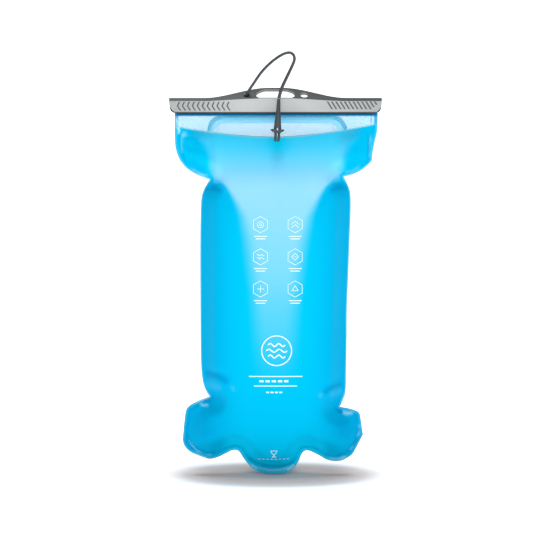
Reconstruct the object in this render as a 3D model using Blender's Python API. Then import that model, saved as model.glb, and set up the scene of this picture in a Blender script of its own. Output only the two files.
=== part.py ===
"""A hydration bladder: a film reservoir, its slide-on closure bar with a hanging cord, and its outlet port.

Run it with blender --background --python part.py, or from Blender's text editor.

Sizes are in millimetres. Heights are above the bag's lowest point, and every object is then moved down by
HANG_HEIGHT, so that the world's origin lies on the face that a hook bears on: the top of the bar's slot.
X runs along the bar, the bag's front faces -Y and +Z is up.
"""

import math

import bmesh
import bpy
import numpy as np
from mathutils import Vector, geometry

MM = 0.001
EDGE_OVERRUN = 1.0  # how far a cutter runs past the faces that it cuts

# Closure bar
BAR_LENGTH = 185.0
BAR_FRONT, BAR_REAR = -9.5, 7.0
BAR_BOTTOM, BAR_SPINE = 319.0, 331.2
FOLD_END, FOLD_MIDDLE = 330.0, 332.5  # where the upright front face turns back into the sloping blade
CREST_END, CREST_MIDDLE = 332.6, 341.1
HUMP_FOOT, HUMP_SHOULDER = 62.0, 6.0
BLADE_THICKNESS = 2.7
BLADE_TILT = math.radians(50)
UP_BLADE = Vector((0, math.sin(BLADE_TILT), math.cos(BLADE_TILT)))
OFF_BLADE = Vector((0, -math.cos(BLADE_TILT), math.sin(BLADE_TILT)))
SLIT_HALF = 1.8
CHANNEL_HALF = 5.2
CHANNEL_LOW, CHANNEL_HIGH = 321.5, 327.5
CORNER_FRONT, CORNER_REAR = 10.0, 5.5
GROOVE_DEPTH = 0.6

# Hanging slot and cord holes, measured up the blade from the fold
SLOT_HALF, SLOT_LOW, SLOT_HIGH = 17.0, 0.8, 11.3
SLOT_FLAT_HALF = 9.0
HOLE_ACROSS, HOLE_UP, HOLE_X, HOLE_RISE = 3.5, 3.1, 25.0, 4.7

# The hook's face is where the slot's flat top crosses the middle plane, y = 0.
HANG_HEIGHT = FOLD_MIDDLE + (SLOT_HIGH + BAR_FRONT * math.sin(BLADE_TILT)) / math.cos(BLADE_TILT)

# Film
FILM = 1.0
FILM_GAP = 0.15
WELD_WIDTH = 6.3
FILM_TOP = 327.0
PILLOW_TOP = 318.0
FRONT_FULLNESS, BACK_FULLNESS = 0.56, 0.48
NECK_TAPER = 62.0
CELL = 2.5
SPACING = 9.5

# Outlet port, on the back panel
PORT_HEIGHT = 62.0
PORT_PLANE = 24.0  # how far the flattened film stands off the middle plane
PORT_FLAT, PORT_BLEND = 19.0, 36.0
NECK_OUTER, NECK_INNER = 8.0, 6.3
BODY_OUTER, SOCKET = 15.0, 6.0
CLEAR = 0.3
ROUND = 28

# Each look is colour, roughness, metallic and alpha.
LOOKS = {
    "bar": ((0.42, 0.43, 0.44), 0.42, 0.0, 1.0),
    "film": ((0.0, 0.45, 0.86), 0.22, 0.0, 0.8),
    "rail": ((0.02, 0.32, 0.62), 0.35, 0.0, 1.0),
    "stiffener": ((0.08, 0.5, 0.85), 0.35, 0.0, 1.0),
    "cord": ((0.035, 0.045, 0.05), 0.5, 0.0, 1.0),
    "port": ((0.16, 0.17, 0.18), 0.4, 0.0, 1.0),
    "accent": ((0.0, 0.3, 0.6), 0.4, 0.0, 1.0),
    "seal": ((0.02, 0.02, 0.02), 0.7, 0.0, 1.0),
    "valve": ((0.75, 0.77, 0.78), 0.4, 0.0, 1.0),
    "steel": ((0.55, 0.56, 0.58), 0.25, 1.0, 1.0),
}

# The weld's outer edge, down the left side, round the foot's three lobes and up the right side.
OUTLINE = [
    (-87.8, 327), (-87.8, 316), (-87.8, 300), (-87.2, 288), (-84.3, 279), (-79.5, 272), (-73, 267),
    (-66, 263.8), (-60.6, 261.4), (-58.2, 258.2), (-60.2, 255.2), (-63.2, 251), (-64.6, 243), (-65.2, 228),
    (-65.5, 200), (-65.5, 160), (-65.3, 120), (-65, 98), (-64, 84), (-61.6, 75.5), (-59, 70.6), (-60.6, 67.4),
    (-66.5, 65.8), (-73, 63), (-78, 57.2), (-80.6, 48), (-81.6, 37), (-80.4, 27), (-76, 20.6), (-67.5, 16.4),
    (-58, 14.2), (-50, 15.8), (-43.6, 19), (-38.6, 21.2), (-34.6, 21.6), (-31.8, 19.4), (-29, 13.6),
    (-25.2, 8.6), (-19.5, 4.6), (-11, 1.2), (-1.5, 0), (8, 1.2), (16.4, 5.6), (21, 11.4), (24, 18),
    (27.4, 21), (32, 20), (39.4, 15.6), (48, 12.2), (57, 12.2), (66, 15.8), (72, 23.4), (76.4, 33),
    (77, 41), (75.2, 50), (70.4, 56.6), (63, 58.8), (57.6, 60.2), (56.6, 63.4), (59.2, 69.4), (61.2, 78),
    (62.4, 92), (62.8, 120), (62.9, 147), (64, 177), (65.2, 212), (66, 238), (65.4, 250), (62.8, 257.4),
    (60.8, 261.4), (63.4, 264.6), (70, 267.2), (77, 271.4), (82.6, 278), (86.2, 287), (88.6, 299),
    (89.1, 313), (89.1, 327),
]

# The cord's centreline, from the anchor behind the blade, out of the left hole and over to the toggle.
CORD_DIAMETER = 2.7
CORD_ROUTE = [
    (-24.8, -2.7, 333.8), (-24.8, -4.9, 336.4), (-24.5, -7, 339.2), (-22.9, -9.2, 342),
    (-20.2, -10.8, 345), (-16.4, -12.4, 350), (-12.1, -13.6, 355.3), (-6.8, -14.2, 361),
    (-0.9, -14.6, 366.1), (6.1, -14.9, 370.6), (11.6, -15, 372.2), (15.2, -15.1, 370.6), (16.4, -15.2, 366.8),
    (15, -15.3, 362), (10.5, -15.5, 352.5), (5.6, -15.7, 342.1), (4, -15.9, 337), (2.95, -16, 332.9),
]
TOGGLE_TOP = Vector((2.9, -16.0, 332.6))
TOGGLE_TIP = Vector((1.2, -22.4, 295.0))
TOGGLE_GAP = 0.35


def smooth(t):
    t = min(max(t, 0.0), 1.0)
    return t * t * (3 - 2 * t)


def clear_scene():
    for obj in list(bpy.data.objects):
        bpy.data.objects.remove(obj)


def material(look):
    found = bpy.data.materials.get(look)
    if found:
        return found
    colour, roughness, metallic, alpha = LOOKS[look]
    made = bpy.data.materials.new(look)
    made.use_nodes = True
    principled = made.node_tree.nodes["Principled BSDF"]
    principled.inputs["Base Color"].default_value = (*colour, 1)
    principled.inputs["Roughness"].default_value = roughness
    principled.inputs["Metallic"].default_value = metallic
    principled.inputs["Alpha"].default_value = alpha
    made.diffuse_color = (*colour, alpha)
    made.roughness = roughness
    made.metallic = metallic
    return made


def add(name, points, faces, look, origin=(0, 0, 0)):
    """An object from points in bag heights. origin is where its own origin lies, on its joint's axis if it moves."""
    origin = Vector(origin)
    mesh = bpy.data.meshes.new(name)
    mesh.from_pydata([(Vector(point) - origin) * MM for point in points], [], faces)
    work = bmesh.new()
    work.from_mesh(mesh)
    bmesh.ops.recalc_face_normals(work, faces=work.faces)
    work.to_mesh(mesh)
    work.free()
    obj = bpy.data.objects.new(name, mesh)
    obj.location = (origin - Vector((0, 0, HANG_HEIGHT))) * MM
    mesh.materials.append(material(look))
    bpy.context.collection.objects.link(obj)
    return obj


def cut(obj, points, faces):
    """Takes a closed shape out of the object."""
    cutter = add(f"{obj.name}_cutter_{len(obj.modifiers)}", points, faces, "seal")
    cutter.hide_render = True
    cutter.display_type = "WIRE"
    boolean = obj.modifiers.new("cut", "BOOLEAN")
    boolean.operation = "DIFFERENCE"
    boolean.solver = "EXACT"
    boolean.object = cutter


def joined(shapes):
    points, faces = [], []
    for more_points, more_faces in shapes:
        start = len(points)
        points += more_points
        faces += [[start + corner for corner in face] for face in more_faces]
    return points, faces


def prism(outline, near, far, place):
    """A prism over a flat outline: place(u, v, depth) turns each point into a place in space."""
    count = len(outline)
    points = [place(u, v, depth) for depth in (near, far) for u, v in outline]
    sides = [[i, (i + 1) % count, count + (i + 1) % count, count + i] for i in range(count)]
    return points, sides + [list(range(count))[::-1], list(range(count, 2 * count))]


def along_y(u, v, depth):
    return Vector((u, depth, v))


def off_blade(u, v, depth):
    """u is along the bar, v is up the blade from the fold, and depth is off its front face."""
    return Vector((u, BAR_FRONT, FOLD_MIDDLE)) + UP_BLADE * v + OFF_BLADE * depth


def box(low, high):
    corners = [(low[0], low[2]), (high[0], low[2]), (high[0], high[2]), (low[0], high[2])]
    return prism(corners, low[1], high[1], along_y)


def ellipse(centre, across, up, count=20):
    angles = [2 * math.pi * i / count for i in range(count)]
    return [(centre[0] + across * math.cos(a), centre[1] + up * math.sin(a)) for a in angles]


def lathe(profile, place, segments=ROUND):
    """A turned shape. profile lists (radius, height) and closes on itself, or runs from axis to axis."""
    open_ends = profile[0][0] == 0
    points, rings = [], []
    for radius, height in profile:
        count = 1 if radius == 0 else segments
        rings.append(range(len(points), len(points) + count))
        for i in range(count):
            angle = 2 * math.pi * i / segments
            points.append(place(radius * math.cos(angle), radius * math.sin(angle), height))
    pairs = list(zip(rings, rings[1:])) + ([] if open_ends else [(rings[-1], rings[0])])
    faces = []
    for first, second in pairs:
        for i in range(segments):
            corners = [first[i % len(first)], first[(i + 1) % len(first)]]
            corners += [second[(i + 1) % len(second)], second[i % len(second)]]
            faces.append(list(dict.fromkeys(corners)))
    return points, faces


def tube(route, radius, sides):
    """A closed tube round a list of points, each section square to the route."""
    points, faces = [], []
    across = Vector((0, 0, 1)).orthogonal()
    for i, centre in enumerate(route):
        along = (route[min(i + 1, len(route) - 1)] - route[max(i - 1, 0)]).normalized()
        across = (across - along * across.dot(along)).normalized()
        other = along.cross(across)
        for k in range(sides):
            angle = 2 * math.pi * k / sides
            points.append(centre + (across * math.cos(angle) + other * math.sin(angle)) * radius)
    for i in range(len(route) - 1):
        for k in range(sides):
            a, b = i * sides + k, i * sides + (k + 1) % sides
            faces.append([a, b, b + sides, a + sides])
    last = len(points) - sides
    return points, faces + [list(range(sides))[::-1], list(range(last, last + sides))]


def helix(radius, wire, low, high, turns, place, steps=12, sides=6):
    count = int(turns * steps)
    low, high = low + wire, high - wire
    route = []
    for i in range(count + 1):
        angle = 2 * math.pi * i / steps
        height = low + (high - low) * i / count
        route.append(Vector(place(radius * math.cos(angle), radius * math.sin(angle), height)))
    return tube(route, wire, sides)


def catmull(points, parts, closed=False):
    """A smooth curve through the points, with this many parts between each two."""
    count = len(points)
    points = [Vector(point) for point in points]

    def at(i):
        return points[i % count] if closed else points[min(max(i, 0), count - 1)]

    curve = []
    for i in range(count if closed else count - 1):
        a, b, c, d = (at(i + k) for k in (-1, 0, 1, 2))
        for k in range(parts):
            t = k / parts
            curve.append(
                0.5 * (2 * b + (c - a) * t + (2 * a - 5 * b + 4 * c - d) * t**2 + (3 * b - a - 3 * c + d) * t**3)
            )
    return curve if closed else curve + [points[-1]]


# Closure bar


def hump(x):
    return smooth((HUMP_FOOT - abs(x)) / (HUMP_FOOT - HUMP_SHOULDER))


def bar_section(x):
    """The bar's outline at x, as (y, z): its front face, its blade, its back, and the channel inside it."""
    fold = FOLD_END + hump(x) * (FOLD_MIDDLE - FOLD_END)
    crest = CREST_END + hump(x) * (CREST_MIDDLE - CREST_END)
    slope = math.tan(BLADE_TILT)
    crest_y = BAR_FRONT + (crest - fold) * slope
    back_y = crest_y + BLADE_THICKNESS * math.cos(BLADE_TILT)
    back = max(crest - BLADE_THICKNESS * math.sin(BLADE_TILT), BAR_SPINE + 0.05)
    chamfer = 1.6
    return [
        (BAR_FRONT, BAR_BOTTOM), (BAR_FRONT, fold), (crest_y, crest), (back_y, back),
        (back_y - (back - BAR_SPINE) * slope, BAR_SPINE),
        (BAR_REAR - chamfer, BAR_SPINE), (BAR_REAR, BAR_SPINE - chamfer), (BAR_REAR, BAR_BOTTOM),
        (SLIT_HALF, BAR_BOTTOM), (SLIT_HALF, CHANNEL_LOW), (CHANNEL_HALF, CHANNEL_LOW),
        (CHANNEL_HALF, CHANNEL_HIGH), (-CHANNEL_HALF, CHANNEL_HIGH), (-CHANNEL_HALF, CHANNEL_LOW),
        (-SLIT_HALF, CHANNEL_LOW), (-SLIT_HALF, BAR_BOTTOM),
    ]


def bar_blank():
    half = BAR_LENGTH / 2
    inner = np.linspace(-HUMP_FOOT, HUMP_FOOT, 29)
    stations = [-half, *inner, half]
    sections = [bar_section(x) for x in stations]
    count = len(sections[0])
    points = [Vector((x, y, z)) for x, section in zip(stations, sections) for y, z in section]
    faces = []
    for i in range(len(stations) - 1):
        for k in range(count):
            a, b = i * count + k, i * count + (k + 1) % count
            faces.append([a, b, b + count, a + count])
    last = len(points) - count
    return points, faces + [list(range(count))[::-1], list(range(last, last + count))]


def corner(side, radius, near, far):
    """What rounds a lower corner of one of the bar's lips. side is -1 on the left and 1 on the right."""
    edge, low = BAR_LENGTH / 2, BAR_BOTTOM
    past = EDGE_OVERRUN
    outline = [(edge + past, low - past), (edge + past, low + radius)]
    for i in range(9):
        angle = math.radians(90 * i / 8)
        outline.append(
            (edge - radius + radius * math.cos(angle), low + radius - radius * math.sin(angle))
        )
    outline.append((edge - radius, low - past))
    return prism([(side * x, z) for x, z in outline], near, far, along_y)


def chevrons():
    """The left grip: arrowheads that point to the bar's end."""
    stroke, pitch, first, count = 1.3, 4.3, -85.8, 11
    arms = ((1.7, 329.3), (0, 325.7), (2.6, 321.8))
    shapes = []
    for i in range(count):
        tip = first + i * pitch
        outline = [(tip + x, z) for x, z in arms] + [(tip + x + stroke, z) for x, z in arms[::-1]]
        shapes.append(prism(outline, BAR_FRONT - EDGE_OVERRUN, BAR_FRONT + GROOVE_DEPTH, along_y))
    return joined(shapes)


def slants():
    """The right grip: slanting grooves, the last ones short of the rounded corner."""
    stroke, pitch, first, count, high, low = 1.5, 3.73, 44.4, 12, 329.6, 323
    lean = 0.62
    shapes = []
    for i in range(count):
        foot = low + max(0, i - count + 3) * 1.9
        left = first + i * pitch
        right = left + (high - foot) * lean
        outline = [(left, high), (left + stroke, high), (right + stroke, foot), (right, foot)]
        shapes.append(prism(outline, BAR_FRONT - EDGE_OVERRUN, BAR_FRONT + GROOVE_DEPTH, along_y))
    return joined(shapes)


def hang_slot_outline():
    right = [
        (14.2, SLOT_LOW), (16.3, 2.4), (SLOT_HALF, 4.6), (16.2, 7), (13.6, 9.4), (SLOT_FLAT_HALF, SLOT_HIGH)
    ]
    right = [tuple(point) for point in catmull(right, 4)]
    return right + [(-x, rise) for x, rise in right[::-1]]


def make_bar():
    bar = add("slide_bar", *bar_blank(), "bar")
    near, far = EDGE_OVERRUN * 3, -BLADE_THICKNESS - 0.9
    holes = [prism(hang_slot_outline(), near, far, off_blade)]
    for x in (-HOLE_X, HOLE_X):
        outline = ellipse((x, HOLE_RISE), HOLE_ACROSS, HOLE_UP)
        holes.append(prism(outline, near, far, off_blade))
    cut(bar, *joined(holes))
    inner = FILM_GAP + FILM + 0.15
    corners = []
    for side in (-1, 1):
        corners.append(corner(side, CORNER_FRONT, BAR_FRONT - EDGE_OVERRUN, -inner))
        corners.append(corner(side, CORNER_REAR, inner, BAR_REAR + EDGE_OVERRUN))
    cut(bar, *joined(corners))
    cut(bar, *joined([chevrons(), slants()]))


# Film


def nearest_edge(points, outline):
    """Each point's distance to the outline, as an array."""
    found = np.full(len(points), np.inf)
    for start, end in zip(outline, np.roll(outline, -1, axis=0)):
        side = end - start
        t = np.clip(((points - start) @ side) / max(side @ side, 1e-9), 0, 1)
        found = np.minimum(found, np.linalg.norm(points - (start + t[:, None] * side), axis=1))
    return found


def inside(points, outline):
    """Whether each point lies inside the outline, by counting the edges to its right."""
    odd = np.zeros(len(points), bool)
    for (x1, z1), (x2, z2) in zip(outline, np.roll(outline, -1, axis=0)):
        if z1 == z2:
            continue
        spans = (points[:, 1] >= min(z1, z2)) & (points[:, 1] < max(z1, z2))
        crossing = x1 + (points[:, 1] - z1) * (x2 - x1) / (z2 - z1)
        odd ^= spans & (points[:, 0] < crossing)
    return odd


def pillow(outline):
    """How full the bag is over its outline: a membrane under pressure, solved on a grid of square cells."""
    low = outline.min(axis=0) - CELL
    size = np.ceil((outline.max(axis=0) + CELL - low) / CELL).astype(int) + 1
    columns, rows = np.meshgrid(np.arange(size[0]), np.arange(size[1]), indexing="ij")
    points = np.stack([low[0] + columns.ravel() * CELL, low[1] + rows.ravel() * CELL], axis=1)
    free = inside(points, outline) & (nearest_edge(points, outline) > WELD_WIDTH)
    free &= points[:, 1] < PILLOW_TOP
    free = free.reshape(size)
    level = np.zeros(size)
    for _ in range(2500):
        around = level[:-2, 1:-1] + level[2:, 1:-1] + level[1:-1, :-2] + level[1:-1, 2:]
        level[1:-1, 1:-1] = np.where(free[1:-1, 1:-1], (around + CELL**2) / 4, 0)
    return low, np.sqrt(2 * level)


def fullness_at(x, z, low, level):
    u, v = (x - low[0]) / CELL, (z - low[1]) / CELL
    i, k = int(u), int(v)
    u, v = u - i, v - k
    across_low = level[i, k] * (1 - u) + level[i + 1, k] * u
    across_high = level[i, k + 1] * (1 - u) + level[i + 1, k + 1] * u
    return (across_low * (1 - v) + across_high * v) * smooth((PILLOW_TOP + 2 - z) / NECK_TAPER)


def film_grid(outline):
    """The flat film cut into triangles: rings inside the weld, and an even field inside those."""
    ring = [Vector((x, z)) for x, z in outline]
    count = len(ring)
    spots = list(ring)
    fine = np.array([(p.x, p.y) for p in catmull([(x, z) for x, z in outline], 3, True)])
    low, high = outline.min(axis=0), outline.max(axis=0)
    field = []
    for row, z in enumerate(np.arange(low[1] + 3, high[1], SPACING * 0.87)):
        for x in np.arange(low[0] - SPACING * (row % 2) / 2, high[0] + SPACING, SPACING):
            field.append((x, z))
    field = np.array(field)
    field = field[inside(field, outline) & (nearest_edge(field, outline) > WELD_WIDTH + 6.5)]
    for inset in (WELD_WIDTH, WELD_WIDTH + 3.2):
        for i in range(0, count, 1):
            along = ring[(i + 1) % count] - ring[i - 1]
            inward = Vector((-along.y, along.x)).normalized()
            spot = ring[i] + inward * inset
            there = np.array([(spot.x, spot.y)])
            if inside(there, outline)[0] and nearest_edge(there, fine)[0] > inset - 0.35:
                spots.append(spot)
    spots += [Vector(point) for point in field]
    made = geometry.delaunay_2d_cdt(spots, [], [list(range(count))], 1, 1e-4)
    return made[0], made[2]


def weld_line():
    """The film's whole edge: the smoothed outline, then back along the straight top."""
    sides = [(point.x, point.y) for point in catmull(OUTLINE, 2)]
    top = [(x, FILM_TOP) for x in np.linspace(OUTLINE[-1][0], OUTLINE[0][0], 20)[1:-1]]
    return np.array(sides + top)


def port_flattening(x, z):
    reach = math.hypot(x, z - PORT_HEIGHT)
    return smooth((PORT_BLEND - reach) / (PORT_BLEND - PORT_FLAT))


def panel(name, side, fullness, outline, spots, triangles, low, level):
    """One sheet of film. side is -1 for the front and 1 for the back."""
    edge = nearest_edge(np.array([(spot.x, spot.y) for spot in spots]), outline)
    inner, outer = [], []
    for spot, distance in zip(spots, edge):
        height = 0.0
        if distance > WELD_WIDTH + 0.2:
            height = fullness * fullness_at(spot.x, spot.y, low, level)
        if side > 0:
            flat = port_flattening(spot.x, spot.y)
            height += (PORT_PLANE - height) * flat
        inner.append(Vector((spot.x, side * (FILM_GAP + height), spot.y)))
        outer.append(Vector((spot.x, side * (FILM_GAP + height + FILM), spot.y)))
    count = len(inner)
    rim = {}
    for face in triangles:
        for a, b in zip(face, (*face[1:], face[0])):
            rim[a, b] = rim.get((b, a)) is None
            if (b, a) in rim:
                rim[b, a] = rim[a, b] = False
    faces = [list(face) for face in triangles]
    faces += [[corner + count for corner in face[::-1]] for face in triangles]
    faces += [[b, a, a + count, b + count] for (a, b), open_edge in rim.items() if open_edge]
    return add(name, inner + outer, faces, "film")


def make_film():
    outline = weld_line()
    low, level = pillow(outline)
    spots, triangles = film_grid(outline)
    panel("front_panel", -1, FRONT_FULLNESS, outline, spots, triangles, low, level)
    back = panel("back_panel", 1, BACK_FULLNESS, outline, spots, triangles, low, level)
    hole = NECK_OUTER + CLEAR
    cut(back, *lathe([(0, PORT_PLANE - 3), (hole, PORT_PLANE - 3), (hole, PORT_PLANE + 4), (0, PORT_PLANE + 4)], port))
    make_stiffener(low, level)


def make_rails():
    outer, inner = CHANNEL_HALF - 0.5, FILM_GAP + FILM + CLEAR
    low, high, round_off = CHANNEL_LOW + 0.7, FILM_TOP, 1.2
    left, right = OUTLINE[0][0] + 2, OUTLINE[-1][0] - 2
    for name, side in (("front_seal_rail", -1), ("rear_seal_rail", 1)):
        section = [(inner, low), (outer - round_off, low), (outer, low + round_off)]
        section += [(outer, high - round_off), (outer - round_off, high), (inner, high)]
        add(name, *prism(section, left, right, lambda y, z, x, side=side: Vector((x, side * y, z))), "rail")


def make_stiffener(low, level):
    """The arch bead on the back panel's outer face, just under the bar."""
    width, thickness, clear = 4.2, 1.1, 1.3
    foot, knee, top = 303.0, 309.5, 314.6
    route = [(-57.6, foot), (-56, knee), (-49.5, top), (-30, top), (-10, top), (10, top), (32, top), (52, top)]
    route += [(59, knee), (61, foot)]
    curve = catmull(route, 3)
    points, faces = [], []
    for i, spot in enumerate(curve):
        along = (curve[min(i + 1, len(curve) - 1)] - curve[max(i - 1, 0)]).normalized()
        across = Vector((-along.y, along.x)) * width / 2
        for edge in (spot - across, spot + across):
            film = FILM_GAP + FILM + BACK_FULLNESS * fullness_at(edge.x, edge.y, low, level)
            points += [Vector((edge.x, film + clear + lift, edge.y)) for lift in (0, thickness)]
    for i in range(len(curve) - 1):
        a, b = i * 4, i * 4 + 4
        for first, second in ((0, 1), (1, 3), (3, 2), (2, 0)):
            faces.append([a + first, a + second, b + second, b + first])
    end = len(points) - 4
    faces += [[0, 1, 3, 2], [end + 2, end + 3, end + 1, end]]
    add("mouth_stiffener", points, faces, "stiffener")


# Cord


def make_cord():
    curve = bpy.data.curves.new("hang_cord", "CURVE")
    curve.dimensions = "3D"
    curve.bevel_depth = CORD_DIAMETER / 2 * MM
    curve.bevel_resolution = 2
    curve.use_fill_caps = True
    smooth_route = catmull(CORD_ROUTE, 8)
    step = 2.0 * CORD_DIAMETER
    kept, run = [smooth_route[0]], 0.0
    for before, here in zip(smooth_route, smooth_route[1:]):
        run += (here - before).length
        if run >= step:
            kept.append(here)
            run = 0.0
    kept[-1] = smooth_route[-1]
    spline = curve.splines.new("POLY")
    spline.points.add(len(kept) - 1)
    for point, place in zip(spline.points, kept):
        point.co = (*(place * MM), 1)
    cord = bpy.data.objects.new("hang_cord", curve)
    cord.location = (0, 0, -HANG_HEIGHT * MM)
    curve.materials.append(material("cord"))
    bpy.context.collection.objects.link(cord)


def make_anchor():
    """The crossbar behind the left hole, which stops the cord from pulling out."""
    radius, half = 1.8, 6
    centre = off_blade(-HOLE_X, HOLE_RISE + 3.6, -BLADE_THICKNESS - 2.8)

    def across(u, v, depth):
        return centre + UP_BLADE * u + OFF_BLADE * v + Vector((depth, 0, 0))

    profile = [(0, -half), (1.3, -half), (radius, 0.6 - half), (radius, half - 0.6), (1.3, half), (0, half)]
    add("cord_anchor", *lathe(profile, across, 16), "cord")


def make_toggle():
    """The flared tail with its collar and forked tip, turned about the line that it hangs along."""
    down = (TOGGLE_TIP - TOGGLE_TOP).normalized()
    side = Vector((1, 0, 0))
    side = (side - down * side.dot(down)).normalized()
    front = down.cross(side)
    start = TOGGLE_TOP + down * TOGGLE_GAP
    reach = (TOGGLE_TIP - TOGGLE_TOP).length

    def hanging(u, v, depth):
        return start + side * u + front * v + down * depth

    collar = reach - 10.2
    profile = [(0, 0), (1.55, 0), (1.75, 4), (2.0, 9), (2.9, collar - 0.9), (5.2, collar - 1), (6, collar - 0.2)]
    profile += [(6, collar + 0.5), (5, collar + 1.4), (2.5, collar + 2.1), (2.3, reach - 2), (1.5, reach - 0.5), (0, reach - 0.5)]
    toggle = add("hang_toggle", *lathe(profile, hanging, 20), "cord")
    fork = prism([(-0.6, -4), (0.6, -4), (0.6, 4), (-0.6, 4)], collar + 2.4, reach + 2, hanging)
    eye = prism([(-0.6, -4), (0.6, -4), (0.6, 4), (-0.6, 4)], collar - 4.6, collar - 1.8, hanging)
    cut(toggle, *joined([fork, eye]))


# Outlet port


def port(u, v, depth):
    """Along the port's axis: depth is how far back it lies."""
    return Vector((u, depth, PORT_HEIGHT + v))


def make_port():
    film_in, film_out = FILM_GAP + PORT_PLANE, FILM_GAP + PORT_PLANE + FILM
    flange_face = film_in - CLEAR
    boss = film_in - 8
    neck_end = film_out + 6
    flange = [(NECK_INNER, boss), (8.2, boss), (8.2, flange_face - 1.6), (16, flange_face - 1.6)]
    flange += [(16, flange_face), (NECK_OUTER, flange_face), (NECK_OUTER, neck_end), (NECK_INNER, neck_end)]
    add("port_flange", *lathe(flange, port), "port")

    low = film_out + CLEAR
    gasket = [(NECK_OUTER + 0.4, low), (14, low), (14, low + 1.2), (NECK_OUTER + 0.4, low + 1.2)]
    add("port_gasket", *lathe(gasket, port), "seal")

    base = low + 1.2 + CLEAR
    seat = neck_end + CLEAR
    bore, mouth = seat + 2.7, seat + 16
    groove = bore + 2
    throat, fit = 3.2, NECK_OUTER + CLEAR
    body = [(fit, base), (BODY_OUTER, base), (BODY_OUTER, mouth - 1.5), (BODY_OUTER - 1.5, mouth), (SOCKET, mouth)]
    body += [(SOCKET, groove + 2.4), (SOCKET + 1.5, groove + 2.4), (SOCKET + 1.5, groove), (SOCKET, groove)]
    body += [(SOCKET, bore), (throat, bore), (throat, seat), (fit, seat)]
    socket = add("port_body", *lathe(body, port), "port")
    latch = groove + 6.6
    slit, half, floor = 1.2, 7.9, -12
    slot = box((-half, latch - slit, PORT_HEIGHT + floor), (half, latch + slit, PORT_HEIGHT + BODY_OUTER + 2))
    cut(socket, *slot)

    def pocket(u, v, depth):
        return Vector((u, latch + v, PORT_HEIGHT + depth))

    cut(socket, *lathe([(0, floor + 0.05), (2.1, floor + 0.05), (2.1, -7), (0, -7)], pocket, 16))

    ring = [(SOCKET + 0.5 + 0.75 * math.cos(a), groove + 1.2 + 0.75 * math.sin(a)) for a in np.linspace(0, 2 * math.pi, 9)[:-1]]
    add("port_oring", *lathe(ring, port), "seal")
    bezel = [(SOCKET + 0.2, mouth + CLEAR), (13, mouth + CLEAR), (13, mouth + 1.4), (SOCKET + 0.2, mouth + 1.4)]
    add("port_bezel", *lathe(bezel, port), "accent")
    make_valve(seat, boss)
    make_latch(latch, floor)


def make_valve(seat, boss):
    """The shut-off valve in the neck: the plug pushes its stem in, and the spring shuts it."""
    axis = port(0, 0, seat)
    head, stem = 4.6, 1.3
    seal_top = seat - 0.35
    seal = [(3.4, seal_top - 0.8), (head, seal_top - 0.8), (head, seal_top), (3.4, seal_top)]
    add("poppet_seal", *lathe(seal, port), "seal", axis)
    face = seal_top - 0.8 - CLEAR
    poppet = [(0, face - 1.5), (head, face - 1.5), (head, face), (stem, face), (stem, seat + 6), (0, seat + 6)]
    add("poppet", *lathe(poppet, port, 20), "valve", axis)
    rim = NECK_INNER - CLEAR
    spider = add("spring_seat", *lathe([(0, boss + 0.2), (rim, boss + 0.2), (rim, boss + 1.6), (0, boss + 1.6)], port), "valve")
    holes = []
    for i in range(6):
        angle = math.radians(60 * i)
        outline = ellipse((4.4 * math.cos(angle), 4.4 * math.sin(angle)), 1, 1, 8)
        holes.append(prism(outline, boss - 1, boss + 3, port))
    cut(spider, *joined(holes))
    add("poppet_spring", *helix(3, 0.35, boss + 1.9, face - 1.8, 5, port), "steel")


def make_latch(latch, floor):
    """The latch plate that holds the plug, the button that presses it down and the spring under it."""
    axis = port(0, 0, latch)
    thick, bottom, top, travel = 0.85, -7.4, BODY_OUTER + 2.0, 1.2
    outline = [(-7.5, bottom), (7.5, bottom), (7.5, 10), (4.4, 12.6), (4.4, top), (-4.4, top), (-4.4, 12.6), (-7.5, 10)]
    outline = [(x, PORT_HEIGHT + z) for x, z in outline]
    plate = add("latch_plate", *prism(outline, latch - thick, latch + thick, along_y), "steel", axis)
    window = ellipse((0, PORT_HEIGHT + travel), SOCKET + 0.3, SOCKET + 0.3, ROUND)
    cut(plate, *prism(window, latch - 2, latch + 2, along_y))
    low = top + CLEAR
    cap = [(-6, low), (6, low), (6, low + 2), (4.6, low + 3.2), (-4.6, low + 3.2), (-6, low + 2)]
    cap = [(x, PORT_HEIGHT + z) for x, z in cap]
    add("release_button", *prism(cap, latch - 3.4, latch + 3.4, along_y), "accent", axis)

    def upright(u, v, depth):
        return Vector((u, latch + v, PORT_HEIGHT + depth))

    add("button_spring", *helix(1.4, 0.3, floor + CLEAR, bottom - CLEAR, 3, upright), "steel")


def main():
    clear_scene()
    make_bar()
    make_film()
    make_rails()
    make_cord()
    make_anchor()
    make_toggle()
    make_port()


main()
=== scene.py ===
"""Looks of a hydration bladder: a translucent film reservoir with its closure bar, hanging cord and outlet.

Sizes are in millimetres. Heights are above the bag's lowest point, as in part.py, and at() turns a place into
metres in the frame. The bag's front faces -Y.
"""

import math

import bmesh
import bpy
import numpy as np
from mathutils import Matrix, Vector, geometry


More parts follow.
